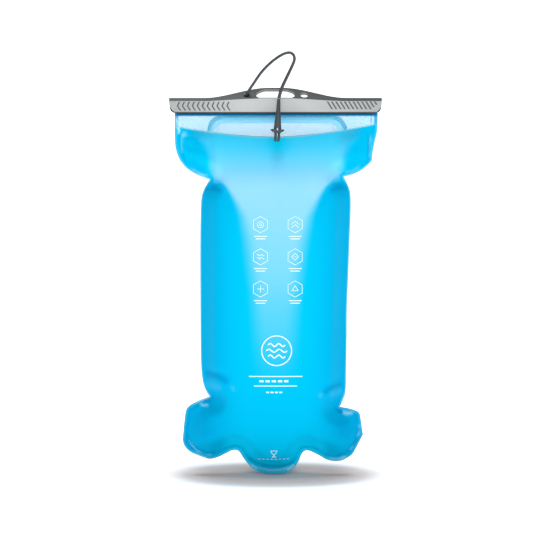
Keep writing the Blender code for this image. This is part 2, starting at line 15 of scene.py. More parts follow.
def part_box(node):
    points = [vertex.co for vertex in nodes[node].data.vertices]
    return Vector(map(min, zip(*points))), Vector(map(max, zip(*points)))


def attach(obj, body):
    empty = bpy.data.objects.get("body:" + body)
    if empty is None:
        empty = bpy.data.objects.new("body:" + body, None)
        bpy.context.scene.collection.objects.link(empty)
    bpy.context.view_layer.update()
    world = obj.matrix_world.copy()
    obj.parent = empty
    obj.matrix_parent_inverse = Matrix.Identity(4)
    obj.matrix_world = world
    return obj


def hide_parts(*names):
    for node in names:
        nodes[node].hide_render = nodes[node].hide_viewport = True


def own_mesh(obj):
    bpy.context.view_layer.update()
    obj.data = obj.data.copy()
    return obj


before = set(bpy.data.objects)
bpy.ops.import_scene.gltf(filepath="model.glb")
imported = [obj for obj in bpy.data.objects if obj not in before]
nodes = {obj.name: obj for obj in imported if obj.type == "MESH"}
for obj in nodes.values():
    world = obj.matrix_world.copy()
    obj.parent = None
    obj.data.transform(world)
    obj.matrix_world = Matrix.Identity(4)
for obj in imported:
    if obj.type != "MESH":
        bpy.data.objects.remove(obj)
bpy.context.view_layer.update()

MM = 0.001
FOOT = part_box("front_panel")[0].z  # the bag's lowest point, in the frame

# Film, drawn nearer its real thickness than the CAD's shell, and half the gap between the two panels at the weld
FILM = 0.4
FILM_GAP = 0.2
FILM_TOP = 327.0
PILLOW_TOP = 318.0  # the bar pinches the bag flat from here up
FRONT_FULLNESS, BACK_FULLNESS = 0.56, 0.48
NECK_TAPER = 62.0
BODY_WELD, EAR_WELD = 1.4, 4.0
SHOULDER = 15.0  # how far in from the weld the film rolls over to its full height
EARS_FROM, LOBES_TO = 262.0, 66.0
LEAN = 0.105  # marks on the full part of the front are set this much of its depth higher
CELL = 1.5  # the grid that the bag's fullness is solved on
FIELD = 1.9  # between the points of the film's mesh

# The water's surface: its height at the middle, how far it rises towards the ears, the half width and the power
# that this rise is measured with, and its tilt
WATER_MIDDLE, WATER_RISE = 297.8, 7.4
WATER_HALF_WIDTH, WATER_POWER, WATER_TILT = 72.0, 1.7, 0.011

# The outlet port, on the back
PORT_HEIGHT, PORT_PLANE = 62.0, 24.0
PORT_FLAT, PORT_BLEND, PORT_HOLE = 19.0, 36.0, 8.6

# The film's outer edge in runs from corner to corner, down the left side, round the foot and up the right side.
OUTLINE_RUNS = [
    [
        (-87.8, 327), (-87.8, 316), (-87.8, 300), (-87.2, 289), (-84.2, 279.6), (-79, 272.4), (-72.4, 267.4),
        (-65, 263.6), (-57.6, 260.8),
    ],
    [
        (-57.6, 260.8), (-60.4, 256.4), (-63.4, 250.4), (-65, 243), (-65.6, 228), (-66, 200), (-66, 160),
        (-65.9, 120), (-65.5, 98), (-64.2, 84), (-61.6, 75.5), (-58.2, 69.4),
    ],
    [
        (-58.2, 69.4), (-62, 68), (-66.4, 66.4), (-72, 63.6), (-76.2, 60.8), (-78.8, 57), (-80.2, 48),
        (-81.2, 38), (-81.6, 30), (-79.6, 24.6), (-75.2, 20.2), (-67, 16.4), (-58.2, 13.8), (-50.6, 15.4),
        (-43.6, 18.8), (-38.2, 21.4), (-34.4, 21.6), (-31.6, 19.8), (-29.2, 16), (-24.4, 9.8), (-19.4, 4.8),
        (-11.4, 1.3), (-1.5, 0), (8, 1.1), (15.8, 5.2), (20.4, 11.6), (23.2, 18), (26.2, 21), (30.6, 20.8),
        (38.8, 16.8), (47, 12.6), (57, 12.0), (64, 15), (68.6, 18.8), (73, 27), (77.4, 35.4),
    ],
    [(77.4, 35.4), (76.4, 42), (75.4, 49), (74, 54.8), (69.2, 57.6), (63, 59.2), (56.6, 60.2)],
    [
        (56.6, 60.2), (59.4, 65.4), (61.4, 71), (62.2, 78), (62.4, 92), (62.8, 120), (62.9, 147), (64, 177),
        (65.2, 212), (66, 238), (65.4, 250), (62.9, 257.4), (59.8, 263.4),
    ],
    [(59.8, 263.4), (66.4, 265.2), (73.8, 268.4), (79.4, 272.6), (84.2, 277.4)],
    [(84.2, 277.4), (84.8, 284), (86.4, 293), (88.6, 303), (89.1, 313), (89.1, 327)],
]

# Soft folds of the film: a route, how wide and how deep. Depth is into the bag, so a ridge's is negative.
FOLDS = [
    ([(-58, 259), (-50, 253), (-43, 245), (-39, 232), (-38, 212)], 3.4, 1.9),
    ([(-63, 250), (-55, 249), (-46, 246)], 3.0, 1.0),
    ([(-58, 259), (-57.5, 272), (-59, 288), (-62, 300)], 3.6, 1.6),
    ([(-79, 302), (-77, 294), (-71, 288), (-63, 288)], 3.0, 1.4),
    ([(-78, 298), (-77, 284), (-73, 274), (-66, 267)], 2.2, 1.2),
    ([(-72, 300), (-64, 297), (-55, 292), (-46, 280)], 5.0, -1.0),
    ([(61, 261), (53, 255), (45, 248), (38, 236), (36, 216)], 3.6, 1.9),
    ([(65, 250), (57, 249), (49, 247)], 3.0, 1.0),
    ([(61, 261), (62, 272), (66, 286), (72, 300)], 3.8, 1.5),
    ([(80, 302), (79, 290), (80, 280), (76, 272)], 2.2, 1.3),
    ([(74, 300), (66, 296), (57, 290), (48, 280)], 5.0, -1.0),
    ([(-62, 92), (-54, 92), (-44, 90), (-38, 85)], 3.4, 1.0),
    ([(-58, 84), (-50, 82), (-42, 78)], 4.0, -0.4),
    ([(-59, 70), (-52, 66), (-44, 66)], 3.4, 1.5),
    ([(-60, 66), (-64, 60), (-66, 52)], 3.2, 1.1),
    ([(61, 86), (53, 84), (46, 80), (41, 76)], 3.4, 1.0),
    ([(57, 62), (51, 60), (44, 60)], 3.4, 1.4),
    ([(58, 60), (62, 55), (63, 48)], 3.2, 1.0),
    ([(-34, 22), (-33, 32), (-30, 44)], 5.0, 1.6),
    ([(27, 21), (27, 31), (25, 42)], 5.0, 1.6),
    ([(-76, 44), (-75, 32), (-68, 23), (-58, 19)], 1.6, 0.7),
    ([(72, 44), (70, 32), (63, 22), (54, 17)], 1.6, 0.7),
    ([(-24, 14), (-14, 8), (0, 6.4), (11, 8), (19, 14)], 1.6, 0.6),
]

# Painted shade in darker bands beside the folds: a route, how wide and how strong.
SHADES = [
    ([(-63, 252), (-57, 253), (-51, 252), (-44.5, 250)], 2.4, 0.5),
    ([(-60, 256), (-54, 255.6), (-48.4, 253.6)], 2.2, 0.34),
    ([(-80, 272), (-70, 266), (-58.6, 262.2)], 0.9, 0.4),
    ([(-74, 279), (-68, 271.5), (-60, 269)], 4.6, 0.22),
    ([(-80, 299), (-76, 296.6), (-71, 295.4), (-67, 297)], 1.3, 0.3),
    ([(-73, 293), (-69, 291.6), (-65, 293)], 2.2, 0.22),
    ([(-55, 296), (-53.4, 282), (-53.4, 268), (-56, 262)], 1.4, 0.14),
    ([(-80.8, 294), (-80.8, 284), (-77.4, 272.6)], 0.8, 0.4),
    ([(64, 253), (57, 253.4), (51, 252), (45.4, 250)], 2.4, 0.5),
    ([(61, 257), (55, 256.4), (49.6, 254)], 2.2, 0.34),
    ([(80, 274.6), (72, 268.6), (61, 264.6)], 0.9, 0.4),
    ([(74, 281), (69, 275), (62, 272)], 4.6, 0.22),
    ([(68, 300), (63, 291), (60.5, 281), (60, 270)], 1.6, 0.12),
    ([(81.6, 303), (81.4, 291), (80.6, 278), (79, 274)], 1.2, 0.5),
    ([(-63, 90), (-55, 89), (-46, 85.6), (-40.5, 81)], 2.8, 0.55),
    ([(60.5, 80), (53, 79), (46, 76), (41.5, 72)], 2.6, 0.55),
    ([(-57, 68.4), (-60.5, 66.6), (-64, 65.8)], 1.5, 0.7),
    ([(57.4, 61), (56.6, 57), (57.6, 54)], 1.3, 0.6),
    ([(-62, 52), (-63, 42), (-60, 33)], 9, 0.2),
    ([(60, 50), (61, 40), (58, 32)], 9, 0.24),
    ([(-79, 46), (-77, 33), (-70, 24.4), (-60, 19.6), (-50, 21)], 0.9, 0.6),
    ([(-81, 32), (-76, 25.6), (-68, 20.6)], 1.3, 0.5),
    ([(73.6, 44), (70.6, 31), (62.6, 20.6), (52, 16.4)], 0.9, 0.6),
    ([(75.4, 36), (70.6, 26.6), (64, 18)], 1.4, 0.4),
    ([(-29, 20), (-20, 12.6), (-10, 8.4), (1, 7.2), (11, 9), (20, 16)], 1.6, 0.6),
    ([(-22, 22), (-10, 15), (0, 13.6), (10, 15), (20, 22)], 5, 0.14),
    ([(-16, 4), (-8, 2.2), (0, 1.6), (8, 2.6)], 1.4, 0.4),
]

# Painted highlights: pale glints along the folds and the weld's rim, in the same form.
SHINES = [
    ([(-86.2, 317), (-85.8, 311), (-84.6, 305), (-82.8, 301)], 0.8, 0.95),
    ([(-81.6, 300), (-81.8, 292), (-81.4, 284)], 0.7, 0.16),
    ([(-82, 301), (-79.4, 299.6), (-76.4, 298.8)], 0.7, 0.4),
    ([(-74, 270.4), (-69, 266.8), (-63, 265), (-57.6, 264.2)], 0.8, 0.35),
    ([(82.8, 300), (82.6, 290), (81.6, 279)], 0.8, 0.2),
    ([(60.6, 267), (67, 268.4), (75, 272.6)], 0.8, 0.35),
    ([(-63, 79.6), (-54, 79), (-47, 76.4)], 3.0, 0.03),
    ([(-67, 63.4), (-63, 61.8), (-58.6, 62.6)], 1.0, 0.4),
    ([(59, 55.8), (63, 54.6), (69, 55)], 1.3, 0.5),
    ([(59.6, 75), (53, 73), (47, 71)], 2.8, 0.03),
    ([(-38.5, 80), (-37, 77.6), (-36, 75)], 1.4, 0.06),
    ([(40.5, 74), (39.4, 72), (38, 69)], 1.6, 0.06),
    ([(-77, 32), (-71, 23.2), (-62, 18), (-56, 17.8)], 0.5, 0.3),
    ([(-72, 18.6), (-66, 15.8), (-60, 14.4)], 0.7, 0.5),
    ([(74.6, 46), (71.8, 31), (65, 21)], 0.5, 0.3),
    ([(46, 14), (55, 13), (64, 16.2)], 0.8, 0.5),
    ([(-20, 8), (-12, 5.2), (-3, 4), (6, 4.8), (14, 8)], 0.7, 0.4),
    ([(-23, 9), (-16, 4)], 1.0, 0.45),
    ([(17, 8.6), (10, 3.6)], 1.0, 0.45),
]

# Across the clear film at the head, the line of the weld that runs down each side.
HEAD_LINES = (-80.6, 83.7)

# The stiffener's weld across the clear head, and the darker line along its inner edge.
ARCH = [
    (-57, 299), (-55, 305.4), (-51.4, 310), (-46, 312.4), (-38, 312.8), (0, 312.8), (40, 312.8), (48, 312.4),
    (53.4, 309.8), (57.4, 305.2), (59.8, 300.4),
]
ARCH_EDGE = [
    (-52, 299), (-50.4, 304.8), (-47.6, 308.2), (-44, 309.9), (-38, 310.2), (0, 310.2), (40, 310.2),
    (45.6, 309.8), (49.6, 307.4), (52.8, 303.4), (54.8, 299.4),
]

# The cord's centreline, from the anchor behind the blade, out of the left hole and over to the toggle.
CORD_DIAMETER = 2.7
CORD_ROUTE = [
    (-24.8, -2.7, 333.8), (-24.5, -5, 336.4), (-22.9, -7.4, 339.4), (-21, -9.4, 342.4),
    (-18.8, -10.9, 345.6), (-15.8, -12.4, 350.2), (-12.1, -13.6, 355.3), (-6.8, -14.2, 361),
    (-0.9, -14.6, 366.1), (6.1, -14.9, 370.6), (11.6, -15, 372.2), (15.2, -15.1, 370.6), (16.4, -15.2, 366.8),
    (15, -15.3, 362), (10.5, -15.5, 352.5), (5.6, -15.7, 342.1), (4, -15.9, 337), (2.95, -16, 332.9),
]
TOGGLE_TOP = Vector((2.9, -16.0, 332.6))
TOGGLE_TIP = Vector((1.2, -22.4, 295.0))
COLLAR_RISE = 9.6  # the toggle's collar lies this far above its tip

# The toggle's sections, each as how far down it lies, half its width and half its depth. The flare's are
# measured from the top, the others from the collar. The collar's end with how far their sides turn up. A prong's
# second number is how far out from the middle the section lies.
FLARE = [(0.35, 1.38, 1.38), (4, 1.55, 1.5), (9, 1.75, 1.6), (14, 2.15, 1.65), (20, 2.8, 1.7)]
COLLAR = [
    (-3.4, 3.2, 1.75, 0), (-1.2, 3.3, 1.8, 0), (-1.0, 3.9, 2.4, 0.15), (-0.95, 5.3, 3.6, 0.9),
    (-0.4, 5.9, 4.0, 1.15), (0.4, 5.9, 3.95, 1.15), (0.95, 5.2, 3.4, 0.9), (1.25, 3.1, 2.2, 0.2),
    (1.5, 2.75, 1.7, 0),
]
PRONG = [
    (1.2, 1.45, 1.1, 1.5), (3, 1.5, 1.16, 1.5), (5.5, 1.48, 1.16, 1.45), (7.6, 1.4, 1.12, 1.35),
    (8.8, 1.3, 0.95, 1.15), (9.5, 1.22, 0.55, 0.7),
]
EYE_TOP, EYE_BOTTOM, EYE_HALF_WIDTH = -3.2, -0.4, 0.62

# The camera looks at the middle of the picture from slightly above.
PICTURE_HEIGHT = 467.4
LOOK_AT = (-7.8, 0, 184.5)
CAMERA_DISTANCE = 2600.0
CAMERA_RISE = math.radians(6)


def at(x, y, z):
    return Vector((x * MM, y * MM, FOOT + z * MM))


def smooth(t):
    t = np.clip(t, 0.0, 1.0)
    return t * t * (3 - 2 * t)


def linear(red, green, blue):
    """A screen colour, 0 to 255, as linear light."""
    return tuple(
        c / 12.92 if c <= 0.04045 else ((c + 0.055) / 1.055) ** 2.4
        for c in (red / 255, green / 255, blue / 255)
    )


def catmull(points, parts, closed=False):
    """A smooth curve through the points, with this many parts between each two."""
    count = len(points)
    points = [Vector(point) for point in points]

    def near(i):
        return points[i % count] if closed else points[min(max(i, 0), count - 1)]

    curve = []
    for i in range(count if closed else count - 1):
        a, b, c, d = (near(i + k) for k in (-1, 0, 1, 2))
        for k in range(parts):
            t = k / parts
            curve.append(
                0.5 * (2 * b + (c - a) * t + (2 * a - 5 * b + 4 * c - d) * t**2 + (3 * b - a - 3 * c + d) * t**3)
            )
    return curve if closed else curve + [points[-1]]


# Materials


class Shader:
    """A Principled material, with short ways to add nodes."""

    def __init__(self, name):
        self.material = bpy.data.materials.new(name)
        self.material.use_nodes = True
        self.tree = self.material.node_tree
        self.surface = self.tree.nodes["Principled BSDF"]

    def node(self, kind, **settings):
        made = self.tree.nodes.new(kind)
        for key, value in settings.items():
            setattr(made, key, value)
        return made

    def set(self, **values):
        for key, value in values.items():
            self.surface.inputs[key.replace("_", " ")].default_value = value

    def link(self, output, target):
        self.tree.links.new(output, target)

    def place(self):
        return self.node("ShaderNodeTexCoord").outputs["Object"]

    def noise(self, scale, detail=3.0, roughness=0.5, stretch=(1, 1, 1)):
        mapping = self.node("ShaderNodeMapping")
        mapping.inputs["Scale"].default_value = stretch
        made = self.node("ShaderNodeTexNoise")
        made.inputs["Scale"].default_value = scale
        made.inputs["Detail"].default_value = detail
        made.inputs["Roughness"].default_value = roughness
        self.link(self.place(), mapping.inputs["Vector"])
        self.link(mapping.outputs["Vector"], made.inputs["Vector"])
        return made.outputs["Fac"]

    def range(self, value, low, high, to_low, to_high):
        made = self.node("ShaderNodeMapRange")
        for key, number in (("From Min", low), ("From Max", high), ("To Min", to_low), ("To Max", to_high)):
            made.inputs[key].default_value = number
        self.link(value, made.inputs["Value"])
        return made.outputs["Result"]

    def mix(self, factor, first, second):
        made = self.node("ShaderNodeMix", data_type="RGBA")
        for value, key in ((factor, "Factor"), (first, "A"), (second, "B")):
            target = made.inputs[key]
            if isinstance(value, bpy.types.NodeSocket):
                self.link(value, target)
            else:
                target.default_value = value if isinstance(value, float) else (*value, 1)
        return made.outputs["Result"]

    def attribute(self, name):
        return self.node("ShaderNodeAttribute", attribute_name=name).outputs["Fac"]

    def math(self, operation, first, second=0.0):
        made = self.node("ShaderNodeMath", operation=operation)
        for value, target in ((first, made.inputs[0]), (second, made.inputs[1])):
            if isinstance(value, bpy.types.NodeSocket):
                self.link(value, target)
            else:
                target.default_value = value
        return made.outputs[0]

    def colour(self, output):
        self.link(output, self.surface.inputs["Base Color"])

    def bump(self, height, strength, distance, after=None):
        made = self.node("ShaderNodeBump")
        made.inputs["Strength"].default_value = strength
        made.inputs["Distance"].default_value = distance
        self.link(height, made.inputs["Height"])
        if after is not None:
            self.link(after, made.inputs["Normal"])
        self.link(made.outputs["Normal"], self.surface.inputs["Normal"])
        return made.outputs["Normal"]


def film_material():
    """Film that is clear and pale where the bag holds air and deep blue where it holds water, with painted light
    and shade.
    """
    look = Shader("film")
    painted_glow, weld, rim, depth, shade = (look.attribute(name) for name in ("painted_glow", "weld", "rim", "depth", "shade"))
    place = look.node("ShaderNodeSeparateXYZ")
    look.link(look.place(), place.inputs["Vector"])
    x = look.math("MULTIPLY", place.outputs["X"], 1 / MM)
    z = look.math("MULTIPLY", look.math("SUBTRACT", place.outputs["Z"], FOOT), 1 / MM)
    out = look.math("DIVIDE", look.math("ABSOLUTE", x), WATER_HALF_WIDTH)
    rise = look.math("MULTIPLY", look.math("POWER", out, WATER_POWER), WATER_RISE)
    tilt = look.math("MULTIPLY", x, WATER_TILT)
    line = look.math("ADD", look.math("ADD", rise, tilt), WATER_MIDDLE)
    above = look.math("SUBTRACT", z, line)
    wet = look.range(above, -0.25, 0.25, 1.0, 0.0)

    cloud = look.range(look.noise(24, 2), 0.35, 0.65, 0.0, 0.1)
    # painted shade: the water darker towards the bag's sides and foot
    water = look.mix(depth, linear(0, 196, 238), linear(0, 146, 200))
    # painted light: the water paler under the toggle, along the foot's edge and at the head under the bar
    water = look.mix(look.attribute("painted_light_spots"), water, linear(0, 212, 255))
    # painted light: the water paler in a funnel from ear to ear
    water = look.mix(painted_glow, water, linear(160, 212, 246))
    water = look.mix(cloud, water, linear(0, 182, 236))
    # painted shade beside the folds, and a dark line along the weld's inner edge
    water = look.mix(shade, water, linear(0, 126, 186))
    haze = look.noise(55, 3, stretch=(1, 1, 0.4))
    dry = look.mix(look.range(haze, 0.4, 0.7, 0.0, 0.6), linear(126, 220, 255), linear(158, 219, 251))
    dry = look.mix(look.attribute("line"), dry, linear(40, 140, 200))
    dry = look.mix(look.attribute("arch"), dry, linear(138, 226, 255))
    dry = look.mix(look.attribute("arch_edge"), dry, linear(20, 156, 226))
    colour = look.mix(wet, dry, water)
    lip = look.math("MULTIPLY", look.range(above, 0.2, 1.0, 1.0, 0.0), look.range(above, -0.5, 0.2, 0.0, 1.0))
    colour = look.mix(look.math("MULTIPLY", lip, 0.7), colour, linear(140, 232, 255))
    band = look.math("MULTIPLY", weld, look.range(wet, 0.0, 1.0, 0.9, 0.0))
    colour = look.mix(band, colour, linear(0, 182, 236))
    # painted highlights along the folds and the weld's rim
    colour = look.mix(look.attribute("shine"), colour, linear(190, 240, 255))
    # painted shadow: the film darker just under the bar
    painted_bar_shadow = look.range(z, 315.6, 317.6, 0.0, 1.0)
    colour = look.mix(painted_bar_shadow, colour, linear(0, 104, 160))
    colour = look.mix(rim, colour, linear(196, 232, 244))
    look.colour(colour)
    alpha = look.range(wet, 0.0, 1.0, 0.25, 1.0)
    for part, most in (
        (weld, 0.78), (painted_bar_shadow, 0.9), (lip, 0.7), (look.attribute("line"), 0.6), (rim, 0.6),
        (look.attribute("arch"), 0.62), (look.attribute("shine"), 0.9),
    ):
        alpha = look.math("MAXIMUM", alpha, look.math("MULTIPLY", part, most))
    look.link(alpha, look.surface.inputs["Alpha"])
    look.link(look.range(look.noise(140, 4), 0.3, 0.7, 0.42, 0.54), look.surface.inputs["Roughness"])
    soft = look.bump(look.noise(40, 3), 0.1, 0.002)
    look.bump(look.noise(1100, 2), 0.04, 0.0002, soft)
    look.set(IOR=1.4, Specular_IOR_Level=0.025)
    look.surface.inputs["Specular Tint"].default_value = (0.2, 0.85, 1.0, 1)
    return look.material


def bar_material():
    """Moulded grey plastic, darker on the swept-back blade, with a fine spark-eroded texture, and painted shade
    at the face's ends, on the blade's right, in the grooves and along the lip.
    """
    look = Shader("bar")
    blade, painted_groove_shade, under = (look.attribute(name) for name in ("blade", "painted_groove_shade", "under"))
    place = look.node("ShaderNodeSeparateXYZ")
    look.link(look.place(), place.inputs["Vector"])
    z = look.math("MULTIPLY", look.math("SUBTRACT", place.outputs["Z"], FOOT), 1 / MM)
    ends = look.range(look.math("ABSOLUTE", place.outputs["X"]), 0.03, 0.088, 0.0, 1.0)
    grain = look.noise(1500, 4, 0.6)
    drift = look.range(look.noise(26, 2, stretch=(0.4, 1, 1)), 0.35, 0.65, 0.0, 1.0)
    face = look.mix(drift, linear(166, 169, 170), linear(188, 190, 189))
    # painted shade: the face darker towards both ends
    face = look.mix(look.math("MULTIPLY", ends, 0.5), face, linear(148, 152, 153))
    dark = look.mix(look.range(z, 332.0, 340.0, 0.0, 1.0), linear(80, 85, 87), linear(62, 66, 67))
    dark = look.mix(look.math("MULTIPLY", drift, 0.12), dark, linear(90, 94, 95))
    # painted shade: the blade darker towards its right
    dark = look.mix(look.range(place.outputs["X"], -0.03, 0.05, 0.0, 0.6), dark, linear(46, 50, 52))
    colour = look.mix(blade, face, dark)
    # painted shade in the grip grooves
    colour = look.mix(painted_groove_shade, colour, linear(104, 108, 110))
    # painted shade along the bar's lower lip, on faces turned down and on faces behind the blade
    rim = look.math("MAXIMUM", under, look.range(z, 320.0, 321.0, 1.0, 0.0))
    colour = look.mix(rim, colour, linear(34, 40, 44))
    colour = look.mix(look.range(grain, 0.4, 0.62, 0.0, 0.1), colour, linear(70, 72, 74))
    look.colour(colour)
    look.link(look.range(grain, 0.3, 0.7, 0.5, 0.62), look.surface.inputs["Roughness"])
    look.bump(grain, 0.15, 0.00006)
    look.set(Specular_IOR_Level=0.2)
    return look.material


def moulded(name, light, dark, roughness=(0.35, 0.5), grain=1200, depth=0.0001, metallic=0.0):
    """Moulded plastic, rubber or metal with a fine grain and a slow drift of colour."""
    look = Shader(name)
    fine = look.noise(grain, 3, 0.6)
    drift = look.noise(70, 2)
    look.colour(look.mix(look.range(drift, 0.3, 0.7, 0.0, 1.0), light, dark))
    look.link(look.range(fine, 0.3, 0.7, *roughness), look.surface.inputs["Roughness"])
    look.bump(fine, 0.25, depth)
    look.set(Metallic=metallic)
    return look.material


def print_material():
    look = Shader("print")
    patch = look.noise(420, 4, 0.65)
    look.colour(look.mix(look.range(patch, 0.5, 0.8, 0.0, 0.35), linear(226, 246, 252), linear(140, 224, 250)))
    look.set(Roughness=0.55)
    look.bump(patch, 0.1, 0.00005)
    return look.material


# Mesh helpers


def put(name, data):
    """A new object in the scene."""
    obj = bpy.data.objects.new(name, data)
    bpy.context.collection.objects.link(obj)
    return obj


def closed_mesh(name, points, faces):
    """A mesh that faces out, from points in millimetres and bag heights."""
    mesh = bpy.data.meshes.new(name)
    mesh.from_pydata([at(*point) for point in points], [], faces)
    work = bmesh.new()
    work.from_mesh(mesh)
    bmesh.ops.recalc_face_normals(work, faces=work.faces)
    work.to_mesh(mesh)
    work.free()
    return mesh


def add(name, points, faces, look, body, slot, smooth_angle=None):
    """A piece from points in millimetres and bag heights, smooth but for edges sharper than smooth_angle."""
    mesh = closed_mesh(name, points, faces)
    mesh.materials.append(look)
    mesh.shade_smooth()
    if smooth_angle is not None:
        mesh.set_sharp_from_angle(angle=math.radians(smooth_angle))
    obj = put(name, mesh)
    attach(obj, body)
    return obj


def soften(node, look, width, name, body, segments=2):
    """A copy of a CAD node with its sharp edges rounded, which stands for the node."""
    mesh = nodes[node].data.copy()
    mesh.materials.clear()
    mesh.materials.append(look)
    work = bmesh.new()
    work.from_mesh(mesh)
    bmesh.ops.remove_doubles(work, verts=work.verts, dist=1e-6)
    bmesh.ops.dissolve_limit(work, angle_limit=math.radians(1.2), verts=work.verts, edges=work.edges)
    work.to_mesh(mesh)
    work.free()
    for attribute in [a.name for a in mesh.attributes if a.name == "custom_normal"]:
        mesh.attributes.remove(mesh.attributes[attribute])
    obj = put(name, mesh)
    bevel = obj.modifiers.new("soften", "BEVEL")
    bevel.width = width * MM
    bevel.segments = segments
    bevel.limit_method = "ANGLE"
    bevel.angle_limit = math.radians(35)
    bevel.use_clamp_overlap = True
    mesh.shade_smooth()
    mesh.set_sharp_from_angle(angle=math.radians(40))
    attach(obj, body)
    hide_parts(node)
    return obj


# Film


def nearest_edge(points, outline):
    """Each point's distance to the outline, as an array."""
    found = np.full(len(points), np.inf)
    for start, end in zip(outline, np.roll(outline, -1, axis=0)):
        side = end - start
        t = np.clip(((points - start) @ side) / max(side @ side, 1e-9), 0, 1)
        found = np.minimum(found, np.linalg.norm(points - (start + t[:, None] * side), axis=1))
    return found


def inside(points, outline):
    """Whether each point lies inside the outline, by counting the edges to its right."""
    odd = np.zeros(len(points), bool)
    for (x1, z1), (x2, z2) in zip(outline, np.roll(outline, -1, axis=0)):
        if z1 == z2:
            continue
        spans = (points[:, 1] >= min(z1, z2)) & (points[:, 1] < max(z1, z2))
        crossing = x1 + (points[:, 1] - z1) * (x2 - x1) / (z2 - z1)
        odd ^= spans & (points[:, 0] < crossing)
    return odd


def weld_width(points):
    """The weld is narrow down the body's sides, where the full film rolls over it, and wide round the ears."""
    z = points[:, 1]
    body = smooth((z - LOBES_TO) / 16) * smooth((EARS_FROM + 4 - z) / 14)
    return EAR_WELD + (BODY_WELD - EAR_WELD) * body


class Pillow:
    """How full the bag is over its outline: a membrane under pressure, solved on a grid of square cells."""

    def __init__(self, outline):
        self.low = outline.min(axis=0) - CELL
        size = np.ceil((outline.max(axis=0) + CELL - self.low) / CELL).astype(int) + 2
        columns, rows = np.meshgrid(np.arange(size[0]), np.arange(size[1]), indexing="ij")
        points = np.stack([self.low[0] + columns.ravel() * CELL, self.low[1] + rows.ravel() * CELL], axis=1)
        depth = nearest_edge(points, outline) - weld_width(points)
        free = inside(points, outline) & (depth > 0) & (points[:, 1] < PILLOW_TOP)
        free = free.reshape(size)
        level = np.zeros(size)
        for _ in range(5200):
            around = level[:-2, 1:-1] + level[2:, 1:-1] + level[1:-1, :-2] + level[1:-1, 2:]
            level[1:-1, 1:-1] = np.where(free[1:-1, 1:-1], (around + CELL**2) / 4, 0)
        self.level = level

    def fullness(self, points):
        """The bag's half thickness at each point, before it is scaled for the front or the back."""
        place = (points - self.low) / CELL
        corner = np.clip(place.astype(int), 0, np.array(self.level.shape) - 2)
        u, v = (place - corner).T
        i, k = corner.T
        low = self.level[i, k] * (1 - u) + self.level[i + 1, k] * u
        high = self.level[i, k + 1] * (1 - u) + self.level[i + 1, k + 1] * u
        level = np.sqrt(2 * np.maximum(low * (1 - v) + high * v, 0))
        return level * smooth((PILLOW_TOP + 2 - points[:, 1]) / NECK_TAPER)


def along_route(points, route):
    """Each point's distance to a route, and how far along it the nearest spot lies, from 0 to 1."""
    route = np.array([(p.x, p.y) for p in catmull(route, 6)])
    best, where = np.full(len(points), np.inf), np.zeros(len(points))
    for i, (start, end) in enumerate(zip(route, route[1:])):
        side = end - start
        t = np.clip(((points - start) @ side) / max(side @ side, 1e-9), 0, 1)
        distance = np.linalg.norm(points - (start + t[:, None] * side), axis=1)
        nearer = distance < best
        best = np.where(nearer, distance, best)
        where = np.where(nearer, (i + t) / (len(route) - 1), where)
    return best, where


def folds(points):
    depth = np.zeros(len(points))
    for route, width, deep in FOLDS:
        distance, where = along_route(points, route)
        depth += deep * np.exp(-((distance / width) ** 2)) * (1 - smooth((where - 0.55) / 0.45))
    return depth


